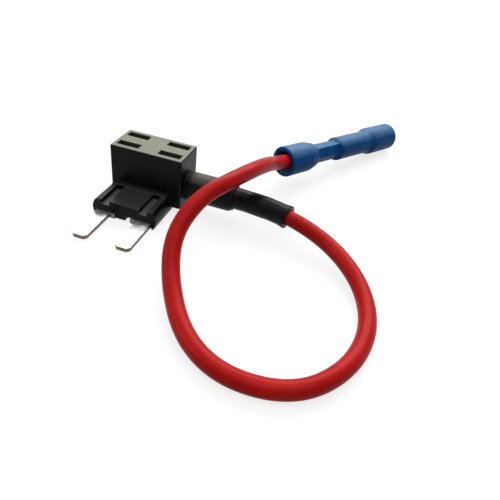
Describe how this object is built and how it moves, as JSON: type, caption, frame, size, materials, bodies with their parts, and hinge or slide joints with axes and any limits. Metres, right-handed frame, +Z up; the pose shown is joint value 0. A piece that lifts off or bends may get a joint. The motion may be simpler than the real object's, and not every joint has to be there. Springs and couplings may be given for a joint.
{
  "type": "blade fuse tap",
  "caption": "Low profile fuse tap: slotted block that holds blade fuses, tongue with plug-in blades, and a short insulated lead ending in a butt splice",
  "frame": {"origin": "on the surface that the tap lies on, under the middle of the fuse block", "axes": "+X along the block towards the lead's neck, -Y the way the blades point, +Z up out of the fuse slots"},
  "size_m": [0.0534, 0.0884, 0.0133],
  "materials": {
    "housing_plastic": "black glass-filled nylon, fine moulded texture",
    "tinned_brass": "bright tin plate over stamped brass",
    "tinned_copper": "tin plate over copper tube",
    "copper": "bare stranded copper",
    "wire_insulation": "red extruded vinyl, glossy",
    "cuff_plastic": "black shrunk tubing, slightly wrinkled",
    "splice_plastic": "blue translucent insulating sleeve, semi-gloss"
  },
  "bodies": {
    "root": {"housing": "housing_plastic", "base_cover": "housing_plastic", "feed_terminal": "tinned_brass", "circuit_terminal": "tinned_brass", "tap_terminal": "tinned_brass", "lead_core": "copper", "lead_insulation": "wire_insulation", "lead_cuff": "cuff_plastic", "splice_barrel": "tinned_copper", "splice_sleeve": "splice_plastic"}
  },
  "joints": []
}
